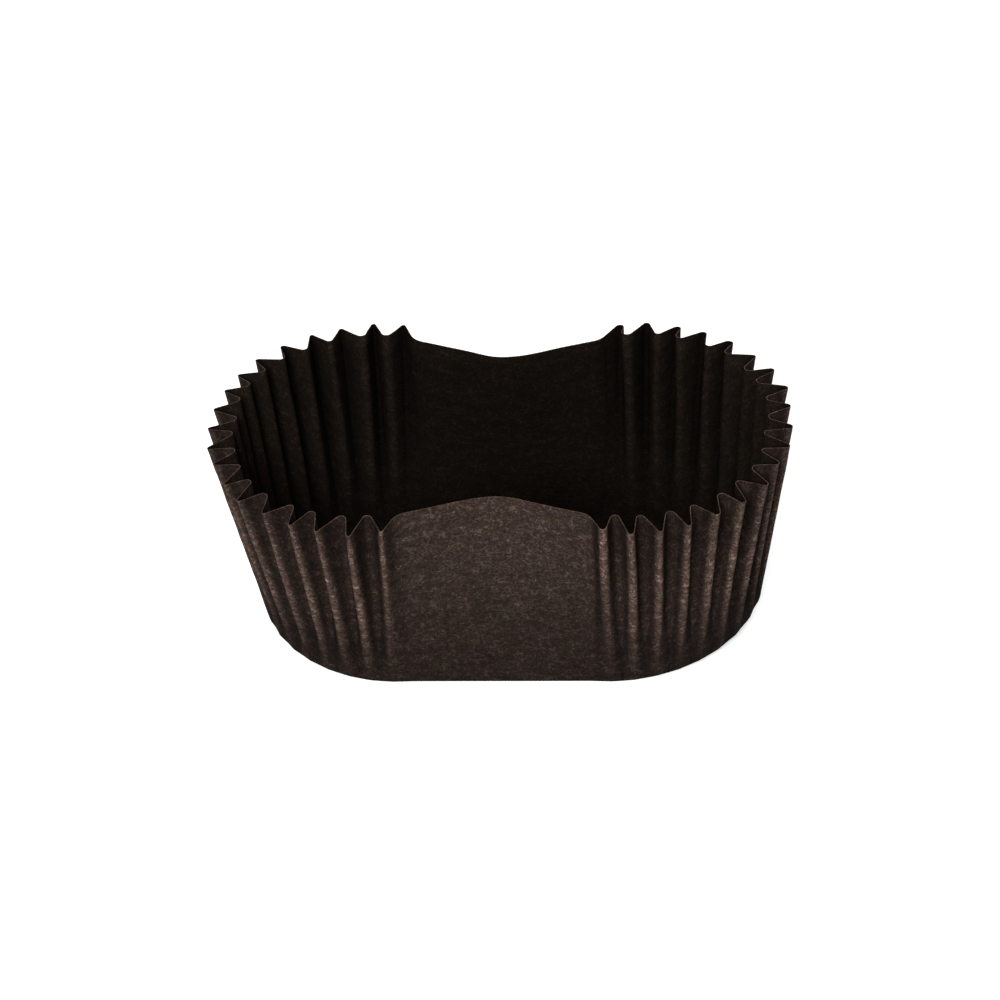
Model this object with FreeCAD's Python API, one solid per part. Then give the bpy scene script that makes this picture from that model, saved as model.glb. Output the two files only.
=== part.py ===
"""Oblong fluted baking cup, pressed from one sheet of dark brown paper.

The blank is an oblong with round ends. Its middle stays flat as the base, and the wall
round it is folded up. Along the two straight sides there is no paper to spare, so the wall
is a smooth panel, which springs inward between its corners. Round the two ends the paper
is longer than the path that the standing wall follows, and the difference is laid into
flutes, which start flat at the base and deepen up to the rim.

Millimetres, +Z up. X runs along the straight sides. The origin is the middle of the
underside of the base, which the cup stands on. Radii and widths are those of the outer
face of the paper. Angles round an end are measured from the -Y side.
"""

import FreeCAD
import Part
import math
import os

# The flat base, measured to the corner where its underside would meet the wall
base_straight = 31.0
base_half_width = 18.95
base_end_reach = 19.5

# The sheet, and the wall that is folded up from it
paper = 0.10
wall_length = 31.9

# The bend between them, which is crisp under a panel and roundest at the ends
panel_foot_radius = 0.7
end_foot_radius = 4.2

# The flutes round one end, counted from the ridge at one panel to the ridge at the other:
# how far their ridges reach at the rim, what that gains on the diagonals and loses along
# X and Y, how much a panel draws in the ridge beside it, and how deep the folds are there
flutes_per_end = 18
rim_ridge_radius = 26.45
rim_squareness = 0.45
rim_corner_pull = 0.9
rim_flute_depth = 3.5
rim_ridge_bend = 0.32
rim_fold_bend = 0.62

# The flutes where they leave the base, as a faint ripple with soft bends, and the share of
# the wall over which they are still pressed half flat
foot_flute_depth = 0.12
foot_bend = 0.70
pressed_share = 0.08

# The smooth panels at the rim: their height, how far their middle is from the X axis, how
# steeply they run out to their shoulders, and how far the soft bend in their middle goes
panel_height = 31.4
panel_half_gap = 17.15
panel_slope = 0.36
panel_soft_half = 3.4

# The shoulder of a panel, where the paper turns out of it to the last ridge, and how far
# it lies before the end of the straight side
shoulder_setback = 3.2
shoulder_bend = 3.0

# Levels at which the sheet's outline is worked out, as parts of the turn at the foot and
# of the wall above it
foot_parts = (0, 1 / 3, 2 / 3)
wall_parts = (0, 0.1, 0.3, 0.6, 1)

half_straight = base_straight / 2
shoulder_place = half_straight - shoulder_setback
flute_angle = math.pi / flutes_per_end


def between(start, end, share):
    """A size part of the way from one to another."""
    return start + (end - start) * share


def base_reach(angle):
    """How far the base reaches from the middle of its round end."""
    return between(base_half_width, base_end_reach, math.sin(angle) ** 2)


def rim_reach(angle):
    """How far a ridge reaches at the rim."""
    near_panel = max(0, 1 - min(angle, math.pi - angle) / flute_angle)
    return rim_ridge_radius - rim_squareness * math.cos(4 * angle) - rim_corner_pull * near_panel


def foot_radius(angle):
    """Radius of the bend at the foot."""
    return between(panel_foot_radius, end_foot_radius, abs(math.sin(angle)) ** 1.5)


def foot_turn(angle):
    """How far the paper turns up from the base."""
    return math.acos((rim_reach(angle) - base_reach(angle)) / wall_length)


def foot_setback(angle):
    """How far the bend at the foot goes on either side of its corner."""
    return foot_radius(angle) * math.tan(foot_turn(angle) / 2)


def fold_depth(share):
    """Depth of the folds at a share of the wall: more paper is spare, and less is pressed."""
    depths = []
    for part in (share, 1):
        flat = base_end_reach + wall_length * part
        rise = rim_ridge_radius - base_end_reach - rim_flute_depth / 2
        standing = base_end_reach + rise * part
        depths.append(math.sqrt(flat**2 - standing**2))
    opened = share * (1 + pressed_share) / (share + pressed_share)
    return rim_flute_depth * opened * depths[0] / depths[1]


class FootLevel:
    """The sheet's sizes part of the way through the turn at its foot."""

    def __init__(self, part, depth_in):
        self.part = part
        self.depth_in = depth_in
        self.panel_slope = 0
        self.panel_middle = base_half_width - panel_foot_radius * (1 - self.rise(math.pi / 2))

    def rise(self, whole_turn):
        """How upright the paper is, when it will turn this far."""
        return math.sin(whole_turn * self.part)

    def share(self, angle):
        return 0

    def tip_radius(self, angle):
        start = base_reach(angle) - foot_setback(angle)
        return start + foot_radius(angle) * self.rise(foot_turn(angle))

    def depth(self, angle):
        at_end = fold_depth(foot_setback(angle) / wall_length)
        return between(foot_flute_depth, at_end, self.part**1.5)

    def inset(self, angle):
        return self.depth_in * self.rise(foot_turn(angle))

    def height(self, angle, x, y):
        radius = foot_radius(angle)
        return radius - (radius - self.depth_in) * math.cos(foot_turn(angle) * self.part)

    def panel_inset(self):
        return self.depth_in * self.rise(math.pi / 2)

    def panel_top(self):
        inside = panel_foot_radius - self.depth_in
        return panel_foot_radius - inside * math.cos(math.pi / 2 * self.part)


class WallLevel:
    """The sheet's sizes part of the way up the wall, above the bend at its foot."""

    def __init__(self, part, depth_in):
        self.part = part
        self.depth_in = depth_in
        self.panel_share = between(panel_foot_radius / wall_length, 1, part)
        self.panel_slope = panel_slope * self.panel_share
        self.panel_middle = between(base_half_width, panel_half_gap, self.panel_share)

    def share(self, angle):
        return between(foot_setback(angle) / wall_length, 1, self.part)

    def tip_radius(self, angle):
        return between(base_reach(angle), rim_reach(angle), self.share(angle))

    def depth(self, angle):
        return fold_depth(self.share(angle))

    def inset(self, angle):
        return self.depth_in

    def height(self, angle, x, y):
        stand_out = math.hypot(max(x - half_straight, 0), y) - base_reach(angle)
        return math.sqrt((wall_length * self.share(angle)) ** 2 - stand_out**2)

    def panel_inset(self):
        return self.depth_in

    def panel_top(self):
        return panel_height * self.panel_share


def flute_bends(level):
    """The bends round the +X end: angle, centre, and a radius below zero for a fold."""
    found = []
    for half_flute in range(2 * flutes_per_end + 1):
        angle = half_flute * flute_angle / 2
        tip_radius = level.tip_radius(angle)
        if half_flute % 2:
            bend = -between(foot_bend, rim_fold_bend, level.share(angle))
            centre_radius = tip_radius - level.depth(angle) - bend
        else:
            bend = between(foot_bend, rim_ridge_bend, level.share(angle))
            centre_radius = tip_radius - bend
        x = half_straight + centre_radius * math.sin(angle)
        found.append((angle, x, -centre_radius * math.cos(angle), bend))
    return found


def panel_place(level, x):
    """A point of the sheet on the panel at +Y, and how far the panel has turned there."""
    soft = abs(x) < panel_soft_half
    away = x**2 / (2 * panel_soft_half) if soft else abs(x) - panel_soft_half / 2
    lean = math.atan(level.panel_slope * max(-1, min(1, x / panel_soft_half)))
    inset = level.panel_inset()
    y = level.panel_middle + level.panel_slope * away
    return x + inset * math.sin(lean), y - inset * math.cos(lean), lean


def flank_facings(bends):
    """The way the paper faces on each flat flank, from one bend to the next."""
    found = []
    last = -math.pi / 2
    for (_, x0, y0, bend0), (_, x1, y1, bend1) in zip(bends, bends[1:]):
        along = math.atan2(y1 - y0, x1 - x0)
        facing = along - math.acos((bend0 - bend1) / math.hypot(x1 - x0, y1 - y0))
        last += math.remainder(facing - last, 2 * math.pi)
        found.append(last)
    return found


def outline(level):
    """One face of the sheet all the way round the cup at a level, as points in space."""
    edge_x, edge_y, lean = panel_place(level, shoulder_place)
    out = level.panel_inset() + shoulder_bend
    shoulder = (edge_x - out * math.sin(lean), edge_y + out * math.cos(lean))
    flutes = flute_bends(level)
    flanks = flank_facings(flutes + [(math.pi, *shoulder, -shoulder_bend)])

    # Three points on each bend, of which the one before the first ridge mirrors the last
    half = []
    for (angle, x, y, bend), start, end in zip(flutes, [-flanks[-1]] + flanks, flanks):
        radius = bend - level.inset(angle)
        for facing in (start, (start + end) / 2, end):
            px, py = x + radius * math.cos(facing), y + radius * math.sin(facing)
            half.append((px, py, level.height(angle, px, py)))

    # The +Y panel, from its shoulder through the soft bend to the shoulder at its far end
    near = []
    radius = -shoulder_bend - level.panel_inset()
    for facing in (flanks[-1], (flanks[-1] + math.pi / 2 + lean) / 2, math.pi / 2 + lean):
        px, py = shoulder[0] + radius * math.cos(facing), shoulder[1] + radius * math.sin(facing)
        near.append((px, py))
    for share in (1, 0.5):
        near.append(panel_place(level, panel_soft_half * share)[:2])
    middle = panel_place(level, 0)[:2]
    far = [(-x, y) for x, y in reversed(near)]
    half += [(x, y, level.panel_top()) for x, y in near + [middle] + far]

    turned_round = [(-x, -y, z) for x, y, z in half]
    return [FreeCAD.Vector(*point) for point in half + turned_round]


def sheet_face(depth_in):
    """The outlines of one face of the sheet, from the base up to the rim."""
    levels = [FootLevel(part, depth_in) for part in foot_parts]
    levels += [WallLevel(part, depth_in) for part in wall_parts]
    return [outline(level) for level in levels]


def facet(*corners):
    """A flat piece of the surface."""
    return Part.Face(Part.makePolygon(corners + corners[:1]))


def strip(lower, upper):
    """Flat facets between two outlines, as paper bends one way at a time."""
    found = []
    count = len(lower)
    for index in range(count):
        after = (index + 1) % count
        found.append(facet(lower[index], lower[after], upper[index]))
        found.append(facet(lower[after], upper[after], upper[index]))
    return found


outer = sheet_face(0)
inner = sheet_face(paper)
facets = strip(outer[-1], inner[-1])
for outlines in (outer, inner):
    facets.append(facet(*outlines[0]))
    for lower, upper in zip(outlines, outlines[1:]):
        facets += strip(lower, upper)

shell = Part.Shell(facets)
shell.sewShape()
liner = Part.Solid(shell)
if liner.Volume < 0:
    liner.reverse()

os.makedirs("parts", exist_ok=True)
liner.exportStep("parts/liner.step")
print("valid", liner.isValid(), "closed", liner.isClosed(), "faces", len(liner.Faces))
print("volume", round(liner.Volume, 1), liner.BoundBox)
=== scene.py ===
"""The looks of an oblong fluted baking cup of dark brown paper, built round its CAD frame."""

import math

import bpy
import numpy as np
from mathutils import Matrix, Vector, noise


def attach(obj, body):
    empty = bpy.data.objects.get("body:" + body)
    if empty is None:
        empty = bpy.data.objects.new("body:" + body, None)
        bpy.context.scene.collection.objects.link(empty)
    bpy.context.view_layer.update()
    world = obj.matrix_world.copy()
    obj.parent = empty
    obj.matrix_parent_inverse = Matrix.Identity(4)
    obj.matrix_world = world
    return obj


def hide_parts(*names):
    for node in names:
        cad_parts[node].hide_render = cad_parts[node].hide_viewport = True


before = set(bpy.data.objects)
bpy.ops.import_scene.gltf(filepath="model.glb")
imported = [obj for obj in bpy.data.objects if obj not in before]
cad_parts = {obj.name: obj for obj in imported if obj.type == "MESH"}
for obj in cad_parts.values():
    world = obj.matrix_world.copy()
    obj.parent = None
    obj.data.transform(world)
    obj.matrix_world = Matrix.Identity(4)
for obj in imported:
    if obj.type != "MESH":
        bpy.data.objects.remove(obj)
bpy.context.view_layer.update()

# Lengths are in millimetres until the mesh is made, and then in metres
MM = 0.001

# The flat base to the corner where the wall would meet it, and the wall folded up from it.
# Pairs of values are for the +X end and the -X end.
END_SIDES = (1, -1)
PAPER = 0.10
HALF_STRAIGHT = 15.5
BASE_HALF_WIDTH = 18.9
BASE_END_REACHES = (20.4, 19.1)
WALL_LENGTH = 31.9

# The bend between them, which is crisp under a panel and roundest at the ends, and the
# power that its radius and the flutes' first ripple grow with
PANEL_FOOT_RADIUS = 0.7
END_FOOT_RADII = (4.9, 3.4)
FOOT_POWER = 1.5

# How far the ridges reach at the rim, what that gains on the diagonals and loses along X
# and Y, how much a panel draws in the ridge beside it, how deep the folds go at the rim and
# at the foot, and the share of the wall over which they are still pressed half flat
FLUTES = 18
FLUTE_ANGLE = math.pi / FLUTES
RIM_RIDGE_RADIUS = 26.4
RIM_SQUARENESS = 0.45
RIM_CORNER_PULL = 0.9
RIM_DEPTH = 3.5
FOOT_DEPTH = 0.06
PRESSED_SHARES = (0.22, 0.11)

# How tightly the paper turns: soft at the foot, and at the rim sharper on the -X end
FOOT_BEND = 0.70
RIDGE_BENDS = (0.46, 0.30)
FOLD_BENDS = (0.66, 0.60)

# The smooth panels at the rim, whose middles at +Y and -Y sprang in to different places,
# and the shoulder where one turns out to its last ridge
PANEL_HEIGHT = 31.4
PANEL_HALF_GAPS = (16.95, 17.15)
PANEL_SLOPE = 0.36
PANEL_SOFT_HALF = 3.2
SHOULDER_PLACE = 12.3
SHOULDER_BEND = 3.0

# How uneven a pressed cup is: the ridges' places in degrees and mm, the folds' places in
# degrees and their depths as a share, and how much tighter or softer a single bend is
RIDGE_TURN_SPREAD = 0.5
RIDGE_REACH_SPREAD = 0.2
FOLD_TURN_SPREAD = 0.6
FOLD_DEPTH_SPREAD = 0.05
BEND_RANGE = (0.8, 1.25)
UNEVEN_SEED = 7

# How the flutes sway on their way up, in radians, how many radians of a wave that makes,
# and how they crowd towards the -Y corners of the two ends, in degrees
SWAY = 0.004
SWAY_WAVE = 7
CROWDING = ((-1.9, -0.7), (-0.4, 0.5))

# How the damped sheet cockles: the width of its lumps and how far it moves, in broad lumps
# on the panels and in fine ones, which the panels have less of, and the height where the
# cockle has grown to the full
BROAD_COCKLE, FINE_COCKLE = (9.0, 0.16), (2.6, 0.06)
PANEL_SMOOTHNESS = 0.6
COCKLE_HEIGHT = 5

# How the cut edge goes up and down, and the width of its lumps
RIM_SPREAD = 0.10
RIM_LUMP = 5.0

# How far one pattern of soft noise lies from the next
NOISE_STEP = (17.3, 5.1, 9.7)

# The studio, in metres: the floor with its greys towards the camera and the cup and its
# own glow to the camera, the surround, and the lights by place, width and power
SQUARE = ((-1, -1), (1, -1), (1, 1), (-1, 1))
FLOOR_HALF_WIDTH = 3.0
FLOOR_DROP = 0.00002
FLOOR_GREY = 0.92
FLOOR_BOUNCE = 0.25
FLOOR_GLOW = 0.6
SURROUND = 0.23
LIT_POINT = (0, 0, 0.015)
LIGHTS = {
    "key": ((-0.15, -1.0, 0.8), 0.45, 14.8),
    "top": ((0.1, 0.2, 1.2), 0.9, 2.5),
    "back": ((0.35, 1.1, 0.45), 0.45, 6.0),
}

# Relief is 0 on a ridge and 1 in a fold, as seen from outside. Its value on a panel and
# where a flank meets a ridge or a fold, and, for the two ends, how it goes from a panel to
# the ridge beside it and how deep a painted shadow lies between them
FLAT, RIDGE_EDGE, FOLD_EDGE = 0.38, 0.12, 0.85
CORNER_FALLS = (2.0, 1.1)
CORNER_SHADOWS = (0.2, 0.06)

# How much of a panel the ridge beside it is, the share of the wall over which the relief
# grows, on the flutes and beside a panel, and the power that it grows with
CORNER_SHARE = 0.35
RELIEF_GROWTH = (0.4, 0.8)
RELIEF_POWER = 0.8

# How pale the paper's two faces are from the ridges down into the folds, and how much
# narrower the pale bands on the ridges are at the rim. Outside, the pale crests are partly
# wear from rubbing and partly painted highlight, and the dark folds painted shade; inside,
# the folds are painted paler than the ridges, as painted light and shade
RELIEF_STOPS = (0.0, 0.12, 0.25, 0.38, 0.5, 0.65, 0.85, 1.0)
OUTER_SHADES = (2.9, 2.3, 1.5, 1.0, 0.57, 0.47, 0.47, 0.78)
INNER_SHADES = (0.45, 0.6, 0.9, 1.0, 1.2, 1.35, 1.45, 1.5)
BAND_NARROWING = 0.8

# How patchy the rubbing and the painted light and shade of the relief are, in upright
# patches of a given width
PATCHINESS = 0.25
PATCH_WIDTH = 1.1
PATCH_SQUEEZE = (1, 1, 0.35)

# How pale the panels, the flutes and the inside are at shares of the height, as painted
# light and shade: the panels paler at the top and darker towards the foot, the flutes
# darker towards the foot and the rim, and the inside paler at the rim
HEIGHT_STOPS = (0.0, 0.3, 0.6, 0.9, 1.0)
PANEL_SHADES = (0.51, 0.685, 0.99, 1.17, 1.18)
FLUTE_SHADES = (0.60, 0.85, 1.0, 0.87, 0.77)
INSIDE_SHADES = (0.9, 1.0, 1.0, 1.1, 1.5)

# How pale the inside is in the middle of the base, where the inside's painted shade is
# lifted, and the power with which that painted shade comes back from there to the foot
INSIDE_BASE_SHADE = 5.0
BASE_DARKENING = 3

# The paper's pattern: length and width of its clouds, of its fibres, of the patches where
# more fibres show and of the patches of tone, the ways that the fibres run in degrees, how
# often in a millimetre and how far they curl, and how far a layer moves with each degree
CLOUD = (3.6, 1.6)
FIBRE = (0.6, 0.22)
GATHERING = (1.1, 1.1)
TONE_PATCH = (4.5, 4.5)
FIBRE_WAYS = (4, 39, 88, 142)
CURLS = ((0.9, 0.5), (2.6, 0.35))
LAYER_SHIFT = (0.37, 0.11)

# How the dye's tone varies, and the relief of the fibres, in metres
COOL = (1.02, 0.98, 1.04, 1)
WARM = (0.98, 1.03, 0.94, 1)
FIBRE_RELIEF = 0.00003
FIBRE_RELIEF_STRENGTH = 0.35

# Each face of the paper: the colours of its ground where it is thin and thick, those of its
# fibres and of the warmer ones, and how much it shines
PAPERS = {
    "paper_outside": (
        (0.0175, 0.0107, 0.0085, 1),
        (0.060, 0.0385, 0.0310, 1),
        (0.255, 0.176, 0.149, 1),
        (0.255, 0.160, 0.100, 1),
        0.1,
    ),
    # The inside's colours are painted several times darker than the outside's: this darkness is
    # painted shade of the deep inside
    "paper_inside_painted_shade": (
        (0.0040, 0.0027, 0.0020, 1),
        (0.0100, 0.0068, 0.0050, 1),
        (0.026, 0.019, 0.014, 1),
        (0.026, 0.017, 0.010, 1),
        0.03,
    ),
    "paper_edge": (
        (0.040, 0.022, 0.015, 1),
        (0.085, 0.050, 0.036, 1),
        (0.240, 0.160, 0.125, 1),
        (0.240, 0.145, 0.090, 1),
        0.1,
    ),
}

# The places of the three papers in that list
OUTSIDE, INSIDE, CUT_EDGE = range(3)

# How finely the sheet is divided: round its path, up its turn and its wall, and where the
# rings on the base lie, as shares of its size
RIDGE_STEPS = 5
FOLD_STEPS = 6
FLANK_STEPS = 4
CORNER_STEPS = 8
PANEL_STEPS = 56
FOOT_LEVELS = 7
WALL_LEVELS = 36
BASE_SCALES = (0.12, 0.33, 0.56, 0.75, 0.87, 0.94, 0.98)


def between(start, end, share):
    """A value part of the way from start to end."""
    return start + (end - start) * share


def base_reach(end, angle):
    """How far the base reaches from the middle of its round end."""
    return between(BASE_HALF_WIDTH, BASE_END_REACHES[end], math.sin(angle) ** 2)


def rim_reach(angle):
    """How far a ridge reaches at the rim."""
    near_panel = max(0, 1 - min(angle, math.pi - angle) / FLUTE_ANGLE)
    return RIM_RIDGE_RADIUS - RIM_SQUARENESS * math.cos(4 * angle) - RIM_CORNER_PULL * near_panel


def foot_radius(end, angle):
    """Radius of the bend at the foot."""
    return between(PANEL_FOOT_RADIUS, END_FOOT_RADII[end], abs(math.sin(angle)) ** FOOT_POWER)


def foot_turn(end, angle):
    """How far the paper turns up from the base."""
    return math.acos((rim_reach(angle) - base_reach(end, angle)) / WALL_LENGTH)


def foot_setback(end, angle):
    """How far the bend at the foot goes on either side of its corner."""
    return foot_radius(end, angle) * math.tan(foot_turn(end, angle) / 2)


def fold_depth(end, share):
    """Depth of the folds at a share of the wall: more paper is spare, and less is pressed."""
    reach = BASE_END_REACHES[1]
    depths = []
    for part in (share, 1):
        flat = reach + WALL_LENGTH * part
        standing = reach + (RIM_RIDGE_RADIUS - RIM_DEPTH / 2 - reach) * part
        depths.append(math.sqrt(flat**2 - standing**2))
    opened = share**2 * (1 + PRESSED_SHARES[end] ** 2) / (share**2 + PRESSED_SHARES[end] ** 2)
    return RIM_DEPTH * opened * depths[0] / depths[1]


class Unevenness:
    """The small differences between one flute and the next, for both ends."""

    def __init__(self):
        chance = np.random.default_rng(UNEVEN_SEED)
        ends, ridges = 2, FLUTES + 1
        self.ridge_turn = np.radians(chance.normal(0, RIDGE_TURN_SPREAD, (ends, ridges)))
        self.ridge_reach = chance.normal(0, RIDGE_REACH_SPREAD, (ends, ridges))
        self.ridge_bend = chance.uniform(*BEND_RANGE, (ends, ridges))
        self.fold_turn = np.radians(chance.normal(0, FOLD_TURN_SPREAD, (ends, FLUTES)))
        self.fold_depth = 1 + chance.normal(0, FOLD_DEPTH_SPREAD, (ends, FLUTES))
        self.fold_bend = chance.uniform(*BEND_RANGE, (ends, FLUTES))
        self.sway = chance.uniform(0, 2 * math.pi, (ends, 2 * FLUTES + 1))


class FootLevel:
    """The sheet's sizes part of the way through the turn at its foot."""

    def __init__(self, part):
        self.part = part
        self.panel_slope = 0.0
        middle = BASE_HALF_WIDTH - PANEL_FOOT_RADIUS * (1 - math.sin(math.pi / 2 * part))
        self.panel_middles = (middle, middle)
        self.panel_top = PANEL_FOOT_RADIUS * (1 - math.cos(math.pi / 2 * part))

    def share(self, end, angle):
        return 0.0

    def tip_radius(self, end, angle):
        start = base_reach(end, angle) - foot_setback(end, angle)
        return start + foot_radius(end, angle) * math.sin(foot_turn(end, angle) * self.part)

    def depth(self, end, angle):
        at_end = fold_depth(end, foot_setback(end, angle) / WALL_LENGTH)
        return between(FOOT_DEPTH, at_end, self.part**FOOT_POWER)

    def heights(self, end, angle, xy):
        turn = foot_turn(end, angle) * self.part
        return np.full(len(xy), foot_radius(end, angle) * (1 - math.cos(turn)))


class WallLevel:
    """The sheet's sizes part of the way up the wall, above the bend at its foot."""

    def __init__(self, part):
        self.part = part
        panel_share = between(PANEL_FOOT_RADIUS / WALL_LENGTH, 1, part)
        self.panel_slope = PANEL_SLOPE * panel_share
        self.panel_middles = [between(BASE_HALF_WIDTH, gap, panel_share) for gap in PANEL_HALF_GAPS]
        self.panel_top = PANEL_HEIGHT * panel_share

    def share(self, end, angle):
        return between(foot_setback(end, angle) / WALL_LENGTH, 1, self.part)

    def tip_radius(self, end, angle):
        return between(base_reach(end, angle), rim_reach(angle), self.share(end, angle))

    def depth(self, end, angle):
        return fold_depth(end, self.share(end, angle))

    def heights(self, end, angle, xy):
        beyond = np.maximum(xy[:, 0] - HALF_STRAIGHT, 0)
        stand_out = np.hypot(beyond, xy[:, 1]) - base_reach(end, angle)
        return np.sqrt((WALL_LENGTH * self.share(end, angle)) ** 2 - stand_out**2)


def flute_bends(level, end, uneven):
    """The bends round one end: angle, centre, and a radius below zero for a fold."""
    found = []
    for half_flute in range(2 * FLUTES + 1):
        number = half_flute // 2
        angle = half_flute * FLUTE_ANGLE / 2
        share = level.share(end, angle)
        double, single = CROWDING[end]
        crowd = math.radians(double * math.sin(2 * angle) + single * math.sin(angle))
        turned = angle + crowd * share
        turned += SWAY * math.sin(SWAY_WAVE * share + uneven.sway[end][half_flute]) * share
        tip_radius = level.tip_radius(end, angle)
        if half_flute % 2:
            bend = between(FOOT_BEND, FOLD_BENDS[end] * uneven.fold_bend[end][number], share)
            turned += uneven.fold_turn[end][number] * share
            depth = level.depth(end, angle) * uneven.fold_depth[end][number]
            centre_radius = tip_radius - depth + bend
            bend = -bend
        else:
            bend = between(FOOT_BEND, RIDGE_BENDS[end] * uneven.ridge_bend[end][number], share)
            turned += uneven.ridge_turn[end][number] * share
            centre_radius = tip_radius + uneven.ridge_reach[end][number] * share - bend
        x = HALF_STRAIGHT + centre_radius * math.sin(turned)
        found.append((angle, x, -centre_radius * math.cos(turned), bend))
    return found


def panel_points(level, end, x):
    """Points along the panel after an end, as if it were on the +Y side."""
    away = np.where(
        np.abs(x) < PANEL_SOFT_HALF,
        x**2 / (2 * PANEL_SOFT_HALF),
        np.abs(x) - PANEL_SOFT_HALF / 2,
    )
    y = level.panel_middles[end] + level.panel_slope * away
    return np.column_stack((x, y, np.full(len(x), level.panel_top)))


def flank_facings(bends):
    """The way the paper faces on each straight flank, from one bend to the next."""
    found = []
    last = -math.pi / 2
    for (_, x0, y0, bend0), (_, x1, y1, bend1) in zip(bends, bends[1:]):
        along = math.atan2(y1 - y0, x1 - x0)
        facing = along - math.acos((bend0 - bend1) / math.hypot(x1 - x0, y1 - y0))
        last += math.remainder(facing - last, 2 * math.pi)
        found.append(last)
    return found


def arc(bend, first, last, steps):
    """Points in plan round a bend, both ends included."""
    _, x, y, radius = bend
    turn = np.linspace(first, last, steps + 1)
    return np.column_stack((x + radius * np.cos(turn), y + radius * np.sin(turn)))


def line(start, end, steps):
    """Points inside a straight flank."""
    part = np.arange(1, steps)[:, None] / steps
    return start + (end - start) * part


class Path:
    """Points round one end and along the panel after it, with what each point is."""

    def __init__(self):
        self.points = []
        self.panel_share = []
        self.relief = []
        self.marks = []

    def add(self, points, panel_share, relief):
        self.points.append(points)
        self.panel_share.append(np.broadcast_to(panel_share, len(points)))
        self.relief.append(np.broadcast_to(relief, len(points)))

    def mark(self):
        """Notes that a ridge's bend starts at the next point."""
        self.marks.append(sum(len(p) for p in self.points))


def half_path(level, end, uneven):
    """The sheet's path at a level: from before the first ridge to the far shoulder."""
    flutes = flute_bends(level, end, uneven)
    lean = math.atan(level.panel_slope)

    # The shoulders of the panels before and after this end
    shoulders = []
    for panel, angle, side in ((1 - end, 0.0, -1), (end, math.pi, 1)):
        edge = panel_points(level, panel, np.array([SHOULDER_PLACE]))[0]
        x = edge[0] - SHOULDER_BEND * math.sin(lean)
        y = edge[1] + SHOULDER_BEND * math.cos(lean)
        shoulders.append((angle, x, side * y, -SHOULDER_BEND))
    leading, trailing = shoulders
    flanks = flank_facings([leading] + flutes + [trailing])
    path = Path()

    def standing(points, angle=None):
        """Points in plan with their heights, on the panel if no angle is given."""
        if angle is None:
            heights = np.full(len(points), level.panel_top)
        else:
            heights = level.heights(end, angle, points)
        return np.column_stack((points, heights))

    # The shoulder, the corner flank and then the flutes one after another
    points = standing(arc(leading, -math.pi / 2 - lean, flanks[0], CORNER_STEPS))
    path.add(points, 1.0, FLAT)
    inside_corner = np.linspace(0, 1, CORNER_STEPS + 1)[1:-1]
    corner_relief = between(FLAT, RIDGE_EDGE, inside_corner ** CORNER_FALLS[end])
    corner_relief += CORNER_SHADOWS[end] * np.sin(math.pi * inside_corner)
    inside_flank = np.linspace(0, 1, FLANK_STEPS + 1)[1:-1]
    last = points[-1]
    for index, bend in enumerate(flutes):
        is_ridge = index % 2 == 0
        steps = RIDGE_STEPS if is_ridge else FOLD_STEPS
        points = standing(arc(bend, flanks[index], flanks[index + 1], steps), bend[0])
        if index == 0:
            path.add(line(last, points[0], CORNER_STEPS), inside_corner[::-1], corner_relief)
        else:
            part = inside_flank if not is_ridge else inside_flank[::-1]
            relief = between(RIDGE_EDGE, FOLD_EDGE, part)
            path.add(line(last, points[0], FLANK_STEPS), 0.0, relief)
        if is_ridge:
            path.mark()
        edge_relief = RIDGE_EDGE if is_ridge else FOLD_EDGE
        crest = 0.0 if is_ridge else 1.0
        crest_relief = between(edge_relief, crest, np.sin(np.linspace(0, math.pi, steps + 1)))
        beside_panel = index in (0, len(flutes) - 1)
        path.add(points, CORNER_SHARE if beside_panel else 0.0, crest_relief)
        last = points[-1]
    points = standing(arc(trailing, flanks[-1], math.pi / 2 + lean, CORNER_STEPS))
    path.add(line(last, points[0], CORNER_STEPS), inside_corner, corner_relief[::-1])
    path.add(points, 1.0, FLAT)

    # The panel, up to where its far shoulder begins
    places = SHOULDER_PLACE * np.linspace(1, -1, PANEL_STEPS + 1)[1:-1]
    path.add(panel_points(level, end, places), 1.0, FLAT)
    return path


def whole_path(level, uneven):
    """The closed path at a level: its points, how far each is on a panel, and its relief."""
    points, panel_share, relief, marks = [], [], [], []
    for end in (0, 1):
        path = half_path(level, end, uneven)
        side = END_SIDES[end]
        marks += [mark + sum(len(p) for p in points) for mark in path.marks]
        points.append(np.concatenate(path.points) * (side, side, 1))
        panel_share.append(np.concatenate(path.panel_share))
        relief.append(np.concatenate(path.relief))
    return np.concatenate(points), np.concatenate(panel_share), np.concatenate(relief), marks


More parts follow.
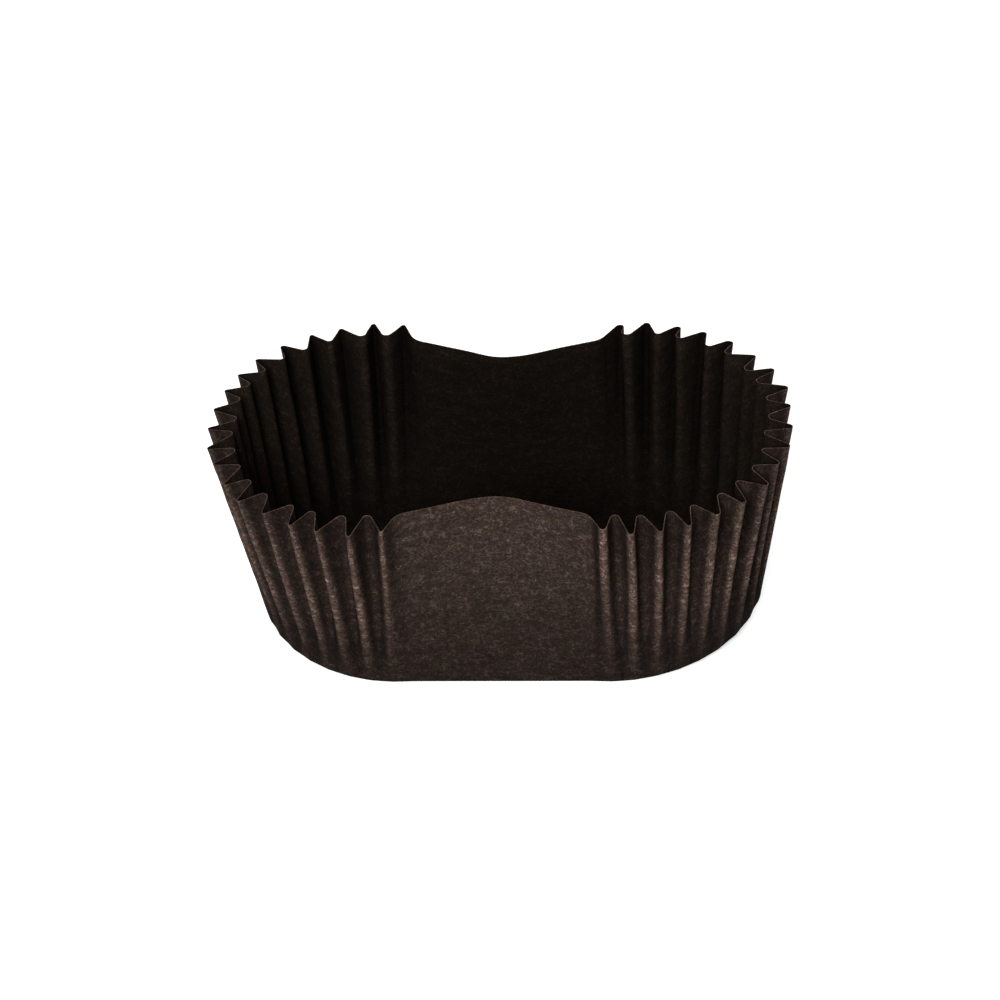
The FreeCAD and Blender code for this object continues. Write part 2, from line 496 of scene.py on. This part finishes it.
def flat_places(xy, marks):
    """Where each point of the path leaves the base in the flat blank.

    Gives the point on the base's outline and the way out from it. Ridges are spaced evenly
    on the blank, and between two of them the paper is shared out by length.
    """
    count = len(xy)
    steps = np.linalg.norm(np.roll(xy, -1, axis=0) - xy, axis=1)
    run = np.concatenate(([0], np.cumsum(steps)))
    total = run[-1]
    middle = RIDGE_STEPS / 2
    at = [run[mark] + middle * steps[mark] for mark in marks]
    angles, centres = np.zeros(count), np.zeros(count)
    for number, start in enumerate(at):
        stop = at[(number + 1) % len(at)]
        stop += total if stop < start else 0
        end, ridge = divmod(number, FLUTES + 1)
        inside = (run[:count] - start) % total < stop - start
        share = ((run[:count] - start) % total)[inside] / (stop - start)
        turned = math.pi * end
        if ridge == FLUTES:
            angles[inside] = math.pi + turned
            centres[inside] = HALF_STRAIGHT * (1 - 2 * share) * END_SIDES[end]
        else:
            angles[inside] = (ridge + share) * FLUTE_ANGLE + turned
            centres[inside] = HALF_STRAIGHT * END_SIDES[end]
    outward = np.column_stack((np.sin(angles), -np.cos(angles)))
    on_line = np.column_stack((centres, np.zeros(count)))
    return on_line, outward


def smooth_noise(points, size, seed):
    """Soft noise from -1 to 1 with lumps of about a given size."""
    offset = Vector([seed * step for step in NOISE_STEP])
    return np.array([noise.noise(Vector(p) / size + offset) for p in points])


def build_sheet():
    """The middle of the paper as a grid of rings, from the middle of the base to the rim."""
    uneven = Unevenness()
    levels = [FootLevel(step / FOOT_LEVELS) for step in range(FOOT_LEVELS)]
    levels += [WallLevel(part) for part in np.linspace(0, 1, WALL_LEVELS)]
    rim, panel_share, relief, marks = whole_path(levels[-1], uneven)
    on_line, outward = flat_places(rim[:, :2], marks)
    count = len(rim)
    rings, flats, reliefs = [], [], []

    first_xy = whole_path(levels[0], uneven)[0][:, :2]
    for scale in BASE_SCALES:
        xy = on_line + (first_xy - on_line) * scale
        rings.append(np.column_stack((xy, np.zeros(count))))
        flats.append(on_line + outward * BASE_HALF_WIDTH * scale)
        reliefs.append(np.full(count, FLAT))

    growth = between(*RELIEF_GROWTH, np.clip(panel_share / CORNER_SHARE, 0, 1))
    rim_noise = smooth_noise(rim * (1, 1, 0), RIM_LUMP, seed=3) * RIM_SPREAD
    for level in levels:
        points = whole_path(level, uneven)[0]
        share = points[:, 2] / WALL_LENGTH
        points[:, 2] += rim_noise * share
        rings.append(points)
        flats.append(on_line + outward * (BASE_HALF_WIDTH + WALL_LENGTH * share[:, None]))
        reliefs.append(between(FLAT, relief, np.clip(share / growth, 0, 1) ** RELIEF_POWER))
    return np.array(rings), np.array(flats), np.array(reliefs), panel_share


def ring_normals(rings):
    """Outward normals of the grid."""
    around = np.roll(rings, -1, axis=1) - np.roll(rings, 1, axis=1)
    up = np.gradient(rings, axis=0)
    normals = np.cross(around, up)
    return normals / np.maximum(np.linalg.norm(normals, axis=2, keepdims=True), 1e-9)


def cockle(rings, flats, panel_share):
    """Moves the sheet a little in and out, as paper does that has been damped and pressed."""
    shape = rings.shape[:2]
    flat = np.concatenate((flats, np.zeros(shape + (1,))), axis=2).reshape(-1, 3)
    broad = smooth_noise(flat, BROAD_COCKLE[0], seed=1).reshape(shape)
    fine = smooth_noise(flat, FINE_COCKLE[0], seed=2).reshape(shape)
    rise = np.clip(rings[:, :, 2] / COCKLE_HEIGHT, 0, 1)
    amount = BROAD_COCKLE[1] * broad * panel_share
    amount += FINE_COCKLE[1] * fine * (1 - PANEL_SMOOTHNESS * panel_share)
    return rings + ring_normals(rings) * (amount * rise)[:, :, None]


def shades(rings, reliefs, panel_share):
    """How pale the outer and the inner face are: painted highlight and partly wear from rubbing
    on the crests, painted shade in the folds, and painted light and shade by height.
    """
    places = rings.reshape(-1, 3)
    patches = smooth_noise(places * PATCH_SQUEEZE, PATCH_WIDTH, seed=5).reshape(reliefs.shape)
    height = np.clip(rings[:, :, 2] / PANEL_HEIGHT, 0, 1)
    narrowed = reliefs * (1 + BAND_NARROWING * height * (1 - panel_share))
    # Painted highlight on the crests, partly wear, and painted shade in the folds
    rubbed_and_painted_light = np.interp(narrowed, RELIEF_STOPS, OUTER_SHADES)
    on_flutes = np.interp(height, HEIGHT_STOPS, FLUTE_SHADES)
    on_panel = np.interp(height, HEIGHT_STOPS, PANEL_SHADES)
    outer = between(1, rubbed_and_painted_light, 1 + PATCHINESS * patches)
    outer *= between(on_flutes, on_panel, panel_share)
    inner = np.interp(reliefs, RELIEF_STOPS, INNER_SHADES)
    inner *= np.interp(height, HEIGHT_STOPS, INSIDE_SHADES)
    # The middle of the base is painted paler, lifting the inside's painted shade there
    for level, scale in enumerate(BASE_SCALES):
        inner[level] *= between(INSIDE_BASE_SHADE, 1, scale**BASE_DARKENING)
    return outer, inner


def make_mesh(rings, flats, reliefs, panel_share):
    """The closed sheet, with its outer face, its inner face and the cut edge at the rim."""
    normals = ring_normals(rings)
    outer = rings + normals * PAPER / 2
    inner = rings - normals * PAPER / 2
    for face in (outer, inner):
        face[:, :, 2] += PAPER / 2
    outer[:, :, 2] = np.maximum(outer[:, :, 2], 0)
    levels, count = rings.shape[:2]
    points = np.concatenate((outer.reshape(-1, 3), inner.reshape(-1, 3))) * MM
    skin = levels * count

    faces, kinds = [], []
    here = np.arange(count)
    after = (here + 1) % count
    for level in range(levels - 1):
        low, high = level * count, (level + 1) * count
        quads = np.column_stack((low + here, low + after, high + after, high + here))
        faces += quads.tolist()
        kinds += [OUTSIDE] * count
        faces += (quads[:, ::-1] + skin).tolist()
        kinds += [INSIDE] * count
    near, far = (levels - 1) * count + here, (levels - 1) * count + after
    faces += np.column_stack((near, far, skin + far, skin + near)).tolist()
    kinds += [CUT_EDGE] * count
    faces.append(here[::-1].tolist())
    kinds.append(OUTSIDE)
    faces.append((here + skin).tolist())
    kinds.append(INSIDE)

    mesh = bpy.data.meshes.new("paper_cup")
    mesh.from_pydata(points.tolist(), [], faces)
    mesh.polygons.foreach_set("material_index", kinds)
    mesh.polygons.foreach_set("use_smooth", [True] * len(faces))
    flat = np.concatenate((flats, np.zeros((levels, count, 1))), axis=2).reshape(-1, 3)
    where = mesh.attributes.new("flat_place", "FLOAT_VECTOR", "POINT")
    where.data.foreach_set("vector", np.concatenate((flat, flat)).ravel().astype(np.float32))
    # The painted light and shade, with some wear from rubbing on the crests, that scales each
    # face's colour
    shade = mesh.attributes.new("shade", "FLOAT", "POINT")
    both = np.concatenate([face.ravel() for face in shades(rings, reliefs, panel_share)])
    shade.data.foreach_set("value", both.astype(np.float32))
    mesh.update()
    mesh.validate()
    return mesh


def sharpen_rim(mesh):
    """Keeps the two faces of the paper from shading into the cut edge."""
    edge_kinds = {}
    for polygon in mesh.polygons:
        for key in polygon.edge_keys:
            edge_kinds.setdefault(key, set()).add(polygon.material_index == CUT_EDGE)
    sharp = mesh.attributes.new("sharp_edge", "BOOLEAN", "EDGE")
    sharp.data.foreach_set("value", [len(edge_kinds[edge.key]) == 2 for edge in mesh.edges])


class Nodes:
    """Short words for building a material's node tree."""

    def __init__(self, name):
        self.material = bpy.data.materials.new(name)
        self.material.use_nodes = True
        self.tree = self.material.node_tree
        self.shader = self.tree.nodes["Principled BSDF"]

    def new(self, kind, **settings):
        node = self.tree.nodes.new(kind)
        for key, value in settings.items():
            setattr(node, key, value)
        return node

    def link(self, source, target):
        self.tree.links.new(source, target)

    def put(self, socket, value):
        """Links a socket to another node's output, or sets its value."""
        if isinstance(value, bpy.types.NodeSocket):
            self.link(value, socket)
        else:
            socket.default_value = value

    def math(self, operation, first, second):
        node = self.new("ShaderNodeMath", operation=operation)
        self.put(node.inputs[0], first)
        self.put(node.inputs[1], second)
        return node.outputs[0]

    def span(self, value, low, high, new_low=0.0, new_high=1.0):
        """Maps a value from one range to another, and keeps it inside."""
        node = self.new("ShaderNodeMapRange", clamp=True)
        self.put(node.inputs["Value"], value)
        node.inputs["From Min"].default_value = low
        node.inputs["From Max"].default_value = high
        node.inputs["To Min"].default_value = new_low
        node.inputs["To Max"].default_value = new_high
        return node.outputs["Result"]

    def mix(self, share, first, second):
        node = self.new("ShaderNodeMix", data_type="RGBA")
        self.put(node.inputs["Factor"], share)
        self.put(node.inputs["A"], first)
        self.put(node.inputs["B"], second)
        return node.outputs["Result"]

    def noise(self, place, scale=1.0, detail=2.0, roughness=0.5):
        node = self.new("ShaderNodeTexNoise")
        self.put(node.inputs["Vector"], place)
        node.inputs["Scale"].default_value = scale
        node.inputs["Detail"].default_value = detail
        node.inputs["Roughness"].default_value = roughness
        return node.outputs["Fac"]

    def curled(self, place, scale, amount):
        """A place that is moved a little this way and that, so that straight lines curl."""
        curl = self.new("ShaderNodeTexNoise")
        self.link(place, curl.inputs["Vector"])
        curl.inputs["Scale"].default_value = scale
        curl.inputs["Detail"].default_value = 0.0
        spread = self.new("ShaderNodeVectorMath", operation="SCALE")
        self.link(curl.outputs["Color"], spread.inputs[0])
        spread.inputs["Scale"].default_value = amount
        moved = self.new("ShaderNodeVectorMath", operation="ADD")
        self.link(place, moved.inputs[0])
        self.link(spread.outputs[0], moved.inputs[1])
        return moved.outputs[0]

    def stretched(self, place, degrees, length, width):
        """A place turned and scaled, so that a noise has lumps of a given length and width."""
        turn = self.new("ShaderNodeMapping")
        self.link(place, turn.inputs["Vector"])
        turn.inputs["Rotation"].default_value = (0, 0, math.radians(degrees))
        stretch = self.new("ShaderNodeMapping")
        self.link(turn.outputs[0], stretch.inputs["Vector"])
        along, across = LAYER_SHIFT
        stretch.inputs["Location"].default_value = (degrees * along, degrees * across, 0)
        stretch.inputs["Scale"].default_value = (1 / length, 1 / width, 1)
        return stretch.outputs[0]


def paper_material(name, dark, mid, pale, warm, gloss):
    """Dyed greaseproof paper: curled fibres in every direction on a mottled ground.

    The pattern lies on the flat blank, in millimetres.
    """
    nodes = Nodes(name)
    place = nodes.new("ShaderNodeAttribute", attribute_name="flat_place").outputs["Vector"]
    shade = nodes.new("ShaderNodeAttribute", attribute_name="shade").outputs["Fac"]
    clouds = nodes.noise(nodes.stretched(place, 0, *CLOUD), detail=4.0, roughness=0.65)
    clouds = nodes.span(clouds, 0.36, 0.64)

    # The ground, thicker in some places than in others
    specks = nodes.span(nodes.noise(place, scale=3.2, roughness=0.7), 0.30, 0.72)
    thick = nodes.math("MULTIPLY", specks, nodes.span(clouds, 0.0, 1.0, 0.4, 1.0))
    ground = nodes.mix(thick, dark, mid)

    # The fibres, of which more show on the pale crests than in the folds, following the
    # painted light and shade
    bent = place
    for scale, amount in CURLS:
        bent = nodes.curled(bent, scale, amount)
    threads = None
    for degrees in FIBRE_WAYS:
        fibres = nodes.stretched(bent, degrees, *FIBRE)
        layer = nodes.noise(fibres, detail=1.0, roughness=0.4)
        layer = nodes.span(layer, 0.58, 0.92)
        threads = layer if threads is None else nodes.math("MAXIMUM", threads, layer)
    gathered = nodes.noise(nodes.stretched(place, 77, *GATHERING), roughness=0.6)
    gathered = nodes.span(gathered, 0.40, 0.60, 0.35, 1.0)
    flecks = nodes.math("MULTIPLY", threads, nodes.span(clouds, 0.0, 1.0, 0.5, 1.0))
    flecks = nodes.math("MULTIPLY", flecks, gathered)
    flecks = nodes.math("MULTIPLY", flecks, nodes.span(shade, 0.4, 2.4, 0.8, 1.2))
    hue = nodes.span(nodes.noise(place, scale=0.55, roughness=0.6), 0.56, 0.66)
    coloured = nodes.mix(flecks, ground, nodes.mix(hue, pale, warm))

    # The dye, a little cooler here and warmer there
    tone = nodes.noise(nodes.stretched(place, 20, *TONE_PATCH), detail=3.0, roughness=0.6)
    tone = nodes.span(tone, 0.36, 0.64)
    toned = nodes.new("ShaderNodeVectorMath", operation="MULTIPLY")
    nodes.link(coloured, toned.inputs[0])
    nodes.link(nodes.mix(tone, COOL, WARM), toned.inputs[1])
    # The colour is scaled by the painted light and shade of the shade attribute
    shaded = nodes.new("ShaderNodeVectorMath", operation="SCALE")
    nodes.link(toned.outputs[0], shaded.inputs[0])
    nodes.link(shade, shaded.inputs["Scale"])
    nodes.link(shaded.outputs[0], nodes.shader.inputs["Base Color"])
    nodes.link(nodes.span(specks, 0.0, 1.0, 0.85, 0.68), nodes.shader.inputs["Roughness"])
    nodes.shader.inputs["Specular IOR Level"].default_value = gloss
    bump = nodes.new("ShaderNodeBump")
    bump.inputs["Strength"].default_value = FIBRE_RELIEF_STRENGTH
    bump.inputs["Distance"].default_value = FIBRE_RELIEF
    nodes.link(nodes.math("ADD", threads, specks), bump.inputs["Height"])
    nodes.link(bump.outputs[0], nodes.shader.inputs["Normal"])
    return nodes.material


def add_cup():
    """The paper cup itself."""
    rings, flats, reliefs, panel_share = build_sheet()
    rings = cockle(rings, flats, panel_share)
    mesh = make_mesh(rings, flats, reliefs, panel_share)
    sharpen_rim(mesh)
    cup = bpy.data.objects.new("paper_cup", mesh)
    bpy.context.scene.collection.objects.link(cup)
    for name, looks in PAPERS.items():
        mesh.materials.append(paper_material(name, *looks))
    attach(cup, "root")
    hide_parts("liner")


def add_floor():
    """A plain white floor that fills every view and throws little light back up."""
    corners = [(x * FLOOR_HALF_WIDTH, y * FLOOR_HALF_WIDTH, -FLOOR_DROP) for x, y in SQUARE]
    mesh = bpy.data.meshes.new("floor")
    mesh.from_pydata(corners, [], [(0, 1, 2, 3)])
    floor = bpy.data.objects.new("floor", mesh)
    bpy.context.scene.collection.objects.link(floor)
    material = bpy.data.materials.new("floor")
    material.use_nodes = True
    tree = material.node_tree
    seen = tree.nodes["Principled BSDF"]
    seen.inputs["Base Color"].default_value = (FLOOR_GREY, FLOOR_GREY, FLOOR_GREY, 1)
    seen.inputs["Roughness"].default_value = 0.9
    seen.inputs["Specular IOR Level"].default_value = 0.0
    seen.inputs["Emission Color"].default_value = (1, 1, 1, 1)
    seen.inputs["Emission Strength"].default_value = FLOOR_GLOW
    bounce = tree.nodes.new("ShaderNodeBsdfDiffuse")
    bounce.inputs["Color"].default_value = (FLOOR_BOUNCE, FLOOR_BOUNCE, FLOOR_BOUNCE, 1)
    choose = tree.nodes.new("ShaderNodeMixShader")
    path = tree.nodes.new("ShaderNodeLightPath")
    tree.links.new(path.outputs["Is Camera Ray"], choose.inputs[0])
    tree.links.new(bounce.outputs[0], choose.inputs[1])
    tree.links.new(seen.outputs[0], choose.inputs[2])
    tree.links.new(choose.outputs[0], tree.nodes["Material Output"].inputs["Surface"])
    mesh.materials.append(material)


def add_area_light(name, place, width, power):
    """A soft light that faces the cup."""
    light = bpy.data.lights.new(name, "AREA")
    light.shape = "SQUARE"
    light.size = width
    light.energy = power
    lamp = bpy.data.objects.new(name, light)
    lamp.location = place
    towards = Vector(LIT_POINT) - Vector(place)
    lamp.rotation_euler = towards.to_track_quat("-Z", "Y").to_euler()
    bpy.context.scene.collection.objects.link(lamp)


def add_world():
    """A white surround, softer as a light than it looks."""
    world = bpy.data.worlds.new("studio")
    world.use_nodes = True
    tree = world.node_tree
    surround = tree.nodes["Background"]
    surround.inputs["Color"].default_value = (1, 1, 1, 1)
    surround.inputs["Strength"].default_value = SURROUND
    seen = tree.nodes.new("ShaderNodeBackground")
    seen.inputs["Color"].default_value = (1, 1, 1, 1)
    choose = tree.nodes.new("ShaderNodeMixShader")
    path = tree.nodes.new("ShaderNodeLightPath")
    tree.links.new(path.outputs["Is Camera Ray"], choose.inputs[0])
    tree.links.new(surround.outputs[0], choose.inputs[1])
    tree.links.new(seen.outputs[0], choose.inputs[2])
    tree.links.new(choose.outputs[0], tree.nodes["World Output"].inputs["Surface"])
    bpy.context.scene.world = world


def add_camera():
    """The photograph's viewpoint: a long lens, a little to the right and well above."""
    azimuth, elevation, roll = math.radians(4.76), math.radians(35.9), math.radians(-2.97)
    distance = 1.218
    pixels_per_mm = 7.0
    sensor = 36.0
    image_pixels = 1000
    nearest, furthest = 0.05, 20
    look_at = Vector((0, 0, 0.015))
    right_of_middle, below_middle = 5.0, 19.3

    ahead = Vector(
        (
            -math.sin(azimuth) * math.cos(elevation),
            math.cos(azimuth) * math.cos(elevation),
            -math.sin(elevation),
        )
    )
    level_right = Vector((math.cos(azimuth), math.sin(azimuth), 0))
    level_up = level_right.cross(ahead)
    right = level_right * math.cos(roll) + level_up * math.sin(roll)
    up = level_up * math.cos(roll) - level_right * math.sin(roll)
    camera = bpy.data.objects.new("camera", bpy.data.cameras.new("camera"))
    camera.data.sensor_width = sensor
    camera.data.lens = sensor * pixels_per_mm * distance / MM / image_pixels
    camera.data.clip_start, camera.data.clip_end = nearest, furthest
    place = look_at - ahead * distance
    place -= right * (right_of_middle / pixels_per_mm * MM)
    place += up * (below_middle / pixels_per_mm * MM)
    turned = Matrix((right, up, -ahead)).transposed().to_4x4()
    camera.matrix_world = Matrix.Translation(place) @ turned
    bpy.context.scene.collection.objects.link(camera)
    bpy.context.scene.camera = camera


add_cup()
add_floor()
add_world()
for light_name, (light_place, light_width, light_power) in LIGHTS.items():
    add_area_light(light_name, light_place, light_width, light_power)
add_camera()
bpy.context.scene.view_settings.view_transform = "Standard"
